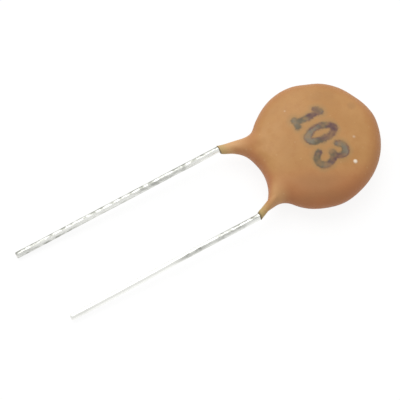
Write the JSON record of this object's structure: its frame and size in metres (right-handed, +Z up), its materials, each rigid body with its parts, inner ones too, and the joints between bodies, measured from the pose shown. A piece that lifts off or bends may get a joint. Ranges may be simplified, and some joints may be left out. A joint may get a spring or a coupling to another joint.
{
  "type": "ceramic disc capacitor",
  "caption": "Leaded ceramic disc capacitor: a domed, dipped resin body with tapering necks and an arch between its parallel tinned wire leads.",
  "frame": {"origin": "centre of the underside of the part's box, on the surface that it lies on", "axes": "+Z up out of the printed face, +Y from the leads' tips to the disc, +X to the right of the print"},
  "size_m": [0.008, 0.0228, 0.0028],
  "materials": {
    "coating": "satin",
    "ceramic": "matte",
    "silver": "satin",
    "solder": "satin",
    "tinned_wire": "satin"
  },
  "bodies": {
    "root": {"coating": "coating", "ceramic_disc": "ceramic", "front_electrode": "silver", "back_electrode": "silver", "front_solder": "solder", "back_solder": "solder", "front_lead": "tinned_wire", "back_lead": "tinned_wire"}
  },
  "joints": []
}
